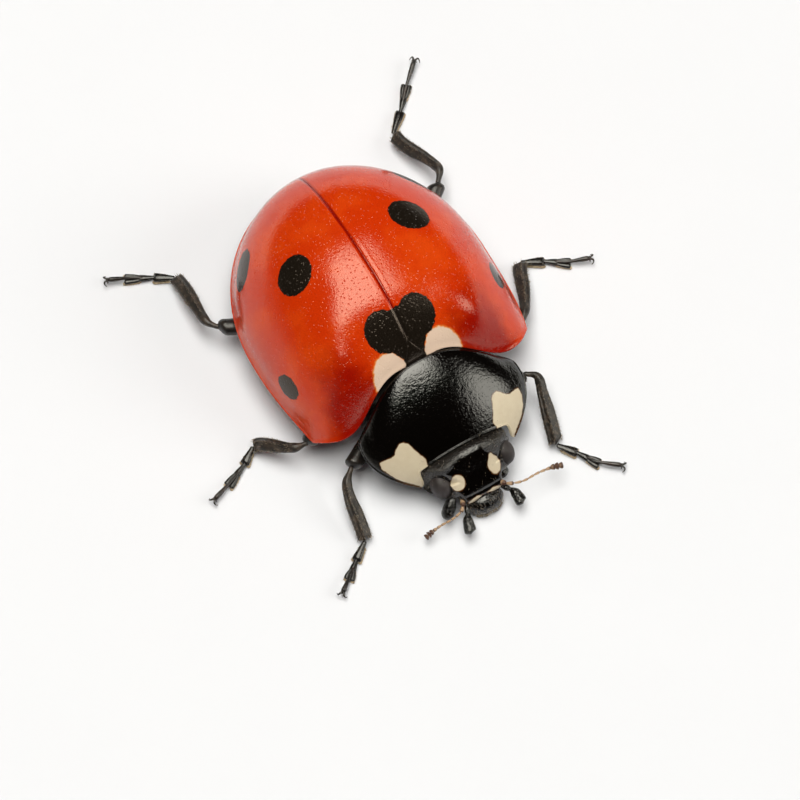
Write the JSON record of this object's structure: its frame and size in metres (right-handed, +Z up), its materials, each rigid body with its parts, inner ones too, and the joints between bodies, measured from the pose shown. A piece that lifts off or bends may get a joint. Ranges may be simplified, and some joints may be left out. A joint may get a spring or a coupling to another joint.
{
  "type": "ladybird",
  "caption": "Life-size seven-spot ladybird standing with its head lowered: domed red wing cases, black pronotum with cream corners, black legs and clubbed feelers.",
  "frame": {"origin": "on the floor under the middle of the whole insect, legs and feelers included", "axes": "+Z up, the insect faces -Y and its left side is +X"},
  "size_m": [0.0098, 0.0106, 0.0031],
  "materials": {
    "wing_case": "glossy orange-red shell with matt black spots and fine pits",
    "black_shell": "glossy black shell with cream marks",
    "underside": "satin black, finely pitted and downy",
    "leg": "satin black with short pale hairs",
    "claw": "dark brown horn",
    "eye": "grey-black, finely faceted, glossy",
    "feeler": "tan and brown rings, downy",
    "hair": "fine pale hairs"
  },
  "bodies": {
    "root": {"elytron_left": "wing_case", "elytron_right": "wing_case", "scutellum": "black_shell", "pronotum": "black_shell", "prothorax": "underside", "thorax": "underside", "abdomen": "underside", "head": "black_shell", "labrum": "black_shell", "eye_left": "eye", "eye_right": "eye", "antenna_left": "feeler", "antenna_right": "feeler", "palp_left": "leg", "palp_right": "leg", "femur_front_left": "leg", "tibia_front_left": "leg", "tarsus_front_left": "leg", "claws_front_left": "claw", "femur_front_right": "leg", "tibia_front_right": "leg", "tarsus_front_right": "leg", "claws_front_right": "claw", "femur_middle_left": "leg", "tibia_middle_left": "leg", "tarsus_middle_left": "leg", "claws_middle_left": "claw", "femur_middle_right": "leg", "tibia_middle_right": "leg", "tarsus_middle_right": "leg", "claws_middle_right": "claw", "femur_hind_left": "leg", "tibia_hind_left": "leg", "tarsus_hind_left": "leg", "claws_hind_left": "claw", "femur_hind_right": "leg", "tibia_hind_right": "leg", "tarsus_hind_right": "leg", "claws_hind_right": "claw"}
  },
  "joints": []
}
